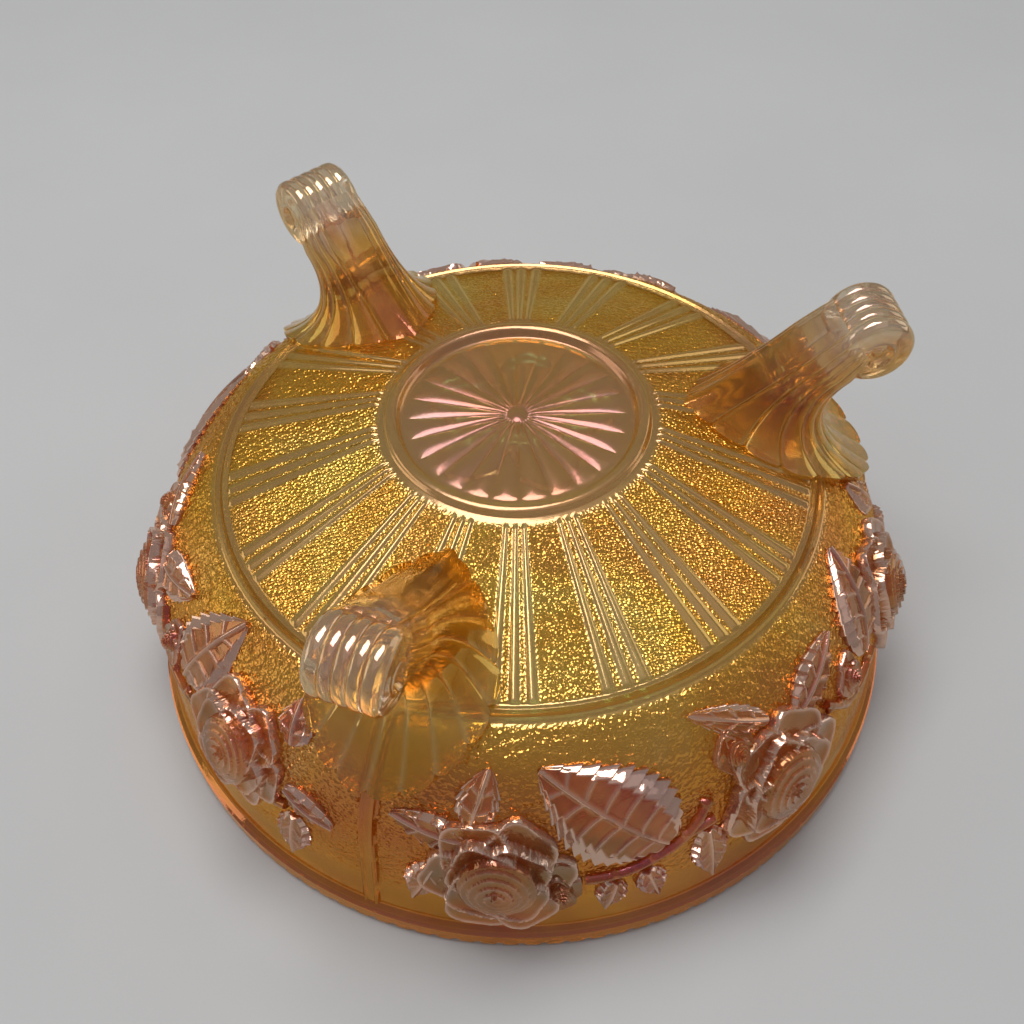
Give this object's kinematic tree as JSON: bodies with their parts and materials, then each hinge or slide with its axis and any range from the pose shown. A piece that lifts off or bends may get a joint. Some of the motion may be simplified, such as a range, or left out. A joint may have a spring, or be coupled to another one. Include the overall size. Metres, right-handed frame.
{
  "type": "footed glass bowl",
  "caption": "Round pressed-glass bowl with moulded roses and leaves, a ribbed starred underside and fluted scroll feet, lying mouth-down.",
  "frame": {"origin": "on the bowl's axis, in the plane of the rim that it lies on", "axes": "+Z along the bowl's axis from the rim towards the feet, so the bowl lies mouth-down; +X through the middle of foot_1"},
  "size_m": [0.2012, 0.2008, 0.0998],
  "materials": {
    "amber_glass": "gloss",
    "golden_glass": "gloss",
    "clear_glass": "gloss",
    "copper_glass": "gloss",
    "rose_lustre": "gloss"
  },
  "bodies": {
    "root": {"rim_band": "copper_glass", "side_wall": "amber_glass", "bead_ring": "clear_glass", "ribbed_base": "golden_glass", "collar_ring": "clear_glass", "star_medallion": "clear_glass", "foot_1": "golden_glass", "mould_seam_1": "amber_glass", "lower_rose_1": "rose_lustre", "side_rose_1": "rose_lustre", "upper_rose_1": "rose_lustre", "leaves_1": "rose_lustre", "buds_1": "rose_lustre", "stems_1": "rose_lustre", "foot_2": "golden_glass", "mould_seam_2": "amber_glass", "lower_rose_2": "rose_lustre", "side_rose_2": "rose_lustre", "upper_rose_2": "rose_lustre", "leaves_2": "rose_lustre", "buds_2": "rose_lustre", "stems_2": "rose_lustre", "foot_3": "golden_glass", "mould_seam_3": "amber_glass", "lower_rose_3": "rose_lustre", "side_rose_3": "rose_lustre", "upper_rose_3": "rose_lustre", "leaves_3": "rose_lustre", "buds_3": "rose_lustre", "stems_3": "rose_lustre"}
  },
  "joints": []
}
